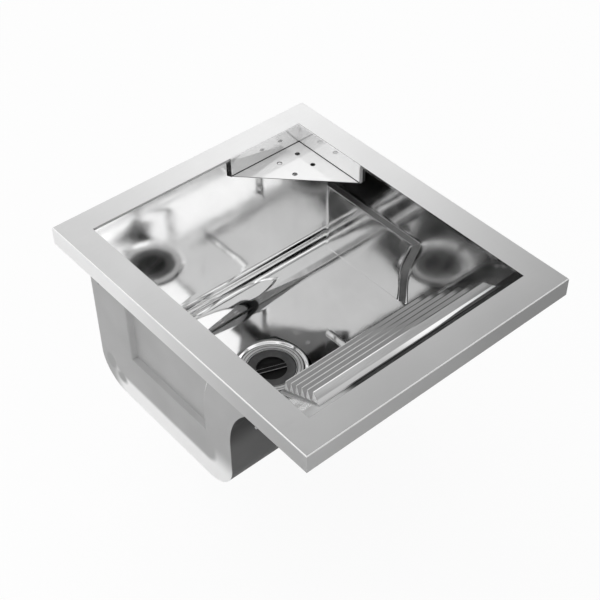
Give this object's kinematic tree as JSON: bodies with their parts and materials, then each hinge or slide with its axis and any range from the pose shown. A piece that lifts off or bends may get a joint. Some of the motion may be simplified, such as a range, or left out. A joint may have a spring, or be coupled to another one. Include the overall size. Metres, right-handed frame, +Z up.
{
  "type": "built-in laundry sink",
  "caption": "Built-in stainless laundry sink with flat rim, pressed bowl, sloped washboard shelf, corner soap dish and lift-out basket strainer waste.",
  "frame": {"origin": "centre of the rim's underside, in the plane that rests on the cabinet", "axes": "+Z up out of the bowl, +Y from the washboard end at the front towards the back wall, +X to the right as seen from the front"},
  "size_m": [0.51, 0.6, 0.4658],
  "materials": {
    "rim_steel": "satin",
    "bowl_steel": "mirror polished inside, plain outside",
    "ridge_steel": "fine ground",
    "waste_steel": "polished",
    "zinc_steel": "zinc plated",
    "black_rubber": "matte",
    "dark_plastic": "fine grained",
    "pale_plastic": "moulded",
    "fibre": "fibre washer",
    "sound_mat": "bitumen mat"
  },
  "bodies": {
    "sink": {"rim_deck": "rim_steel", "bowl_wrap": "bowl_steel", "bowl_front_panel": "bowl_steel", "side_panel_left": "bowl_steel", "side_panel_right": "bowl_steel", "washboard": "ridge_steel", "soap_dish": "bowl_steel", "waste_body": "waste_steel", "outlet_spigot": "waste_steel", "waste_gasket_top": "black_rubber", "waste_gasket_bottom": "black_rubber", "friction_washer": "fibre", "lock_nut": "pale_plastic", "tailpiece": "waste_steel", "tailpiece_washer": "pale_plastic", "coupling_nut": "pale_plastic", "sound_pad": "sound_mat", "deck_stiffeners": "zinc_steel", "fixing_brackets": "zinc_steel", "bracket_screws": "zinc_steel"},
    "basket_plug": {"basket": "waste_steel", "basket_seal": "black_rubber", "basket_post": "waste_steel", "plug_cap": "dark_plastic", "post_screw": "zinc_steel"}
  },
  "joints": [
    {"name": "basket_lift", "type": "slide", "parent": "sink", "child": "basket_plug", "axis": [0, 0, 1], "range_m": [0, 0.4]}
  ]
}
